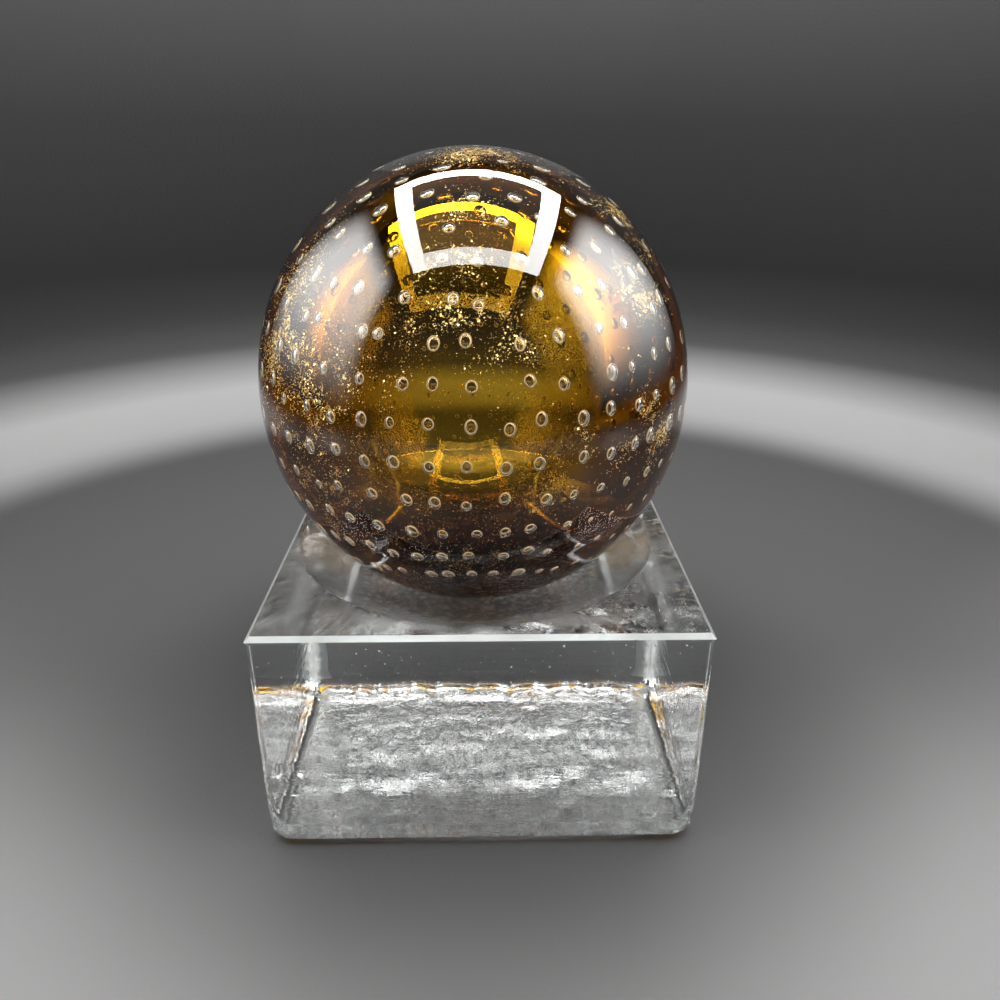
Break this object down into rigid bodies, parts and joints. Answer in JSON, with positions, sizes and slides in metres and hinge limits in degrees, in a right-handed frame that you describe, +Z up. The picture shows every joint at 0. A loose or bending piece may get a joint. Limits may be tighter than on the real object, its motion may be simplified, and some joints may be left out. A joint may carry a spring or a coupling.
{
  "type": "glass paperweight",
  "caption": "Amber glass ball with air bubbles and gold leaf in clear glass, resting in the dish of a square clear cast glass block.",
  "frame": {"origin": "middle of the block's underside", "axes": "+Z up, -Y towards the front of the block, +X to its right"},
  "size_m": [0.1036, 0.1024, 0.153],
  "materials": {
    "cased_glass": "polished clear casing with rings of air bubbles",
    "amber_glass": "dark amber layer round the blown hollow, sealed under the casing",
    "gold_leaf": "torn gold leaf, sealed under the casing",
    "block_glass": "cast: ground top, smooth sides, hammered underside"
  },
  "bodies": {
    "root": {"glass_ball": "cased_glass", "glass_block": "block_glass"}
  },
  "joints": []
}
